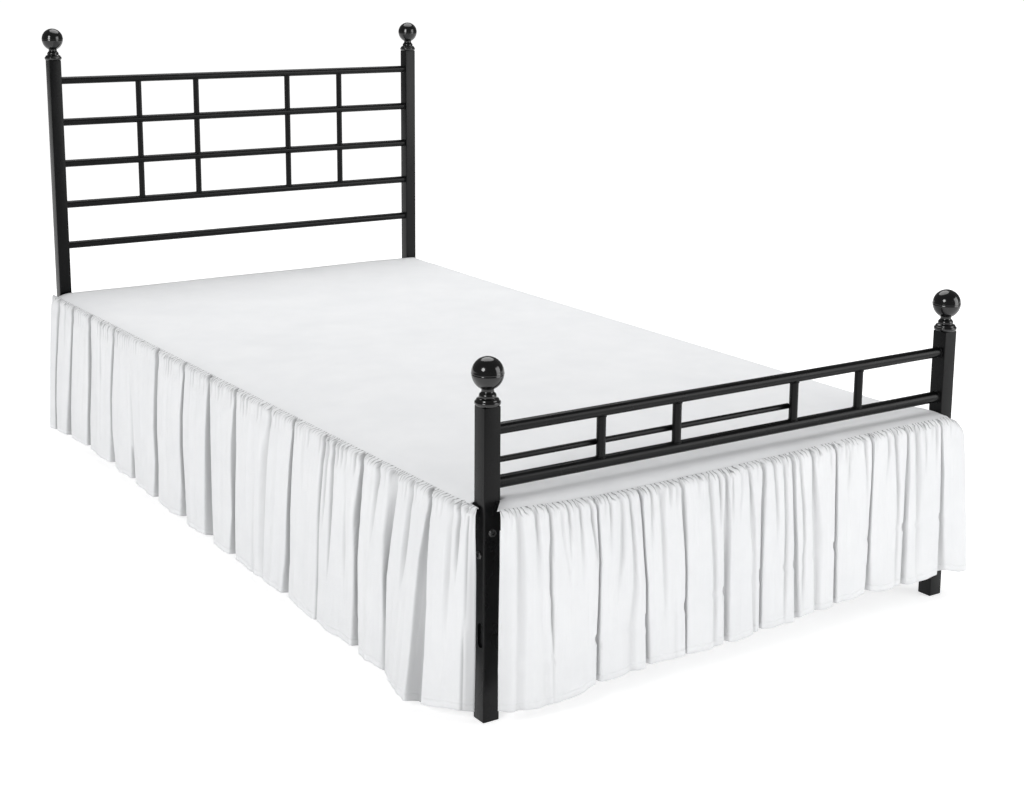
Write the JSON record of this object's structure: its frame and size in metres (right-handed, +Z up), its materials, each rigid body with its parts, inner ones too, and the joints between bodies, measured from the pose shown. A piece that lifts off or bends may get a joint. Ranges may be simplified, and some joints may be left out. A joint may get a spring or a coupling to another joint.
{
  "type": "gathered bed skirt on a metal twin bed",
  "caption": "Gathered bed skirt with a flat deck panel and floor-length ruffles at the sides and foot, on the plain metal bed with ball finials that it dresses.",
  "frame": {"origin": "on the floor, under the middle of the whole thing, skirt included", "axes": "+X across the bed from its left side to its right as seen from the foot, +Y from the foot towards the headboard, +Z up"},
  "size_m": [1.2136, 2.0695, 1.0307],
  "materials": {
    "black_paint": "glossy black powder coat on steel tube",
    "white_cloth": "soft matt white woven microfibre"
  },
  "bodies": {
    "root": {"deck_panel": "white_cloth", "end_rail_foot": "black_paint", "end_rail_head": "black_paint", "face_bolt_left": "black_paint", "face_bolt_right": "black_paint", "foot_finial_left": "black_paint", "foot_finial_right": "black_paint", "foot_low_bar": "black_paint", "foot_post_left": "black_paint", "foot_post_right": "black_paint", "foot_spindle_1": "black_paint", "foot_spindle_2": "black_paint", "foot_spindle_3": "black_paint", "foot_spindle_4": "black_paint", "foot_top_bar": "black_paint", "head_bar_1": "black_paint", "head_bar_2": "black_paint", "head_bar_3": "black_paint", "head_bar_4": "black_paint", "head_bar_5": "black_paint", "head_finial_left": "black_paint", "head_finial_right": "black_paint", "head_post_left": "black_paint", "head_post_right": "black_paint", "head_spindle_1_1": "black_paint", "head_spindle_1_2": "black_paint", "head_spindle_1_3": "black_paint", "head_spindle_2_1": "black_paint", "head_spindle_2_2": "black_paint", "head_spindle_2_3": "black_paint", "head_spindle_3_1": "black_paint", "head_spindle_3_2": "black_paint", "head_spindle_3_3": "black_paint", "head_spindle_4_1": "black_paint", "head_spindle_4_2": "black_paint", "head_spindle_4_3": "black_paint", "ruffle_foot": "white_cloth", "ruffle_left": "white_cloth", "ruffle_right": "white_cloth", "side_bolt_left": "black_paint", "side_bolt_right": "black_paint", "side_rail_left": "black_paint", "side_rail_right": "black_paint", "slat_1": "black_paint", "slat_2": "black_paint", "slat_3": "black_paint", "slat_4": "black_paint", "slat_5": "black_paint", "slat_6": "black_paint", "slat_7": "black_paint", "slat_8": "black_paint", "slat_9": "black_paint", "stop_bar": "black_paint"}
  },
  "joints": []
}
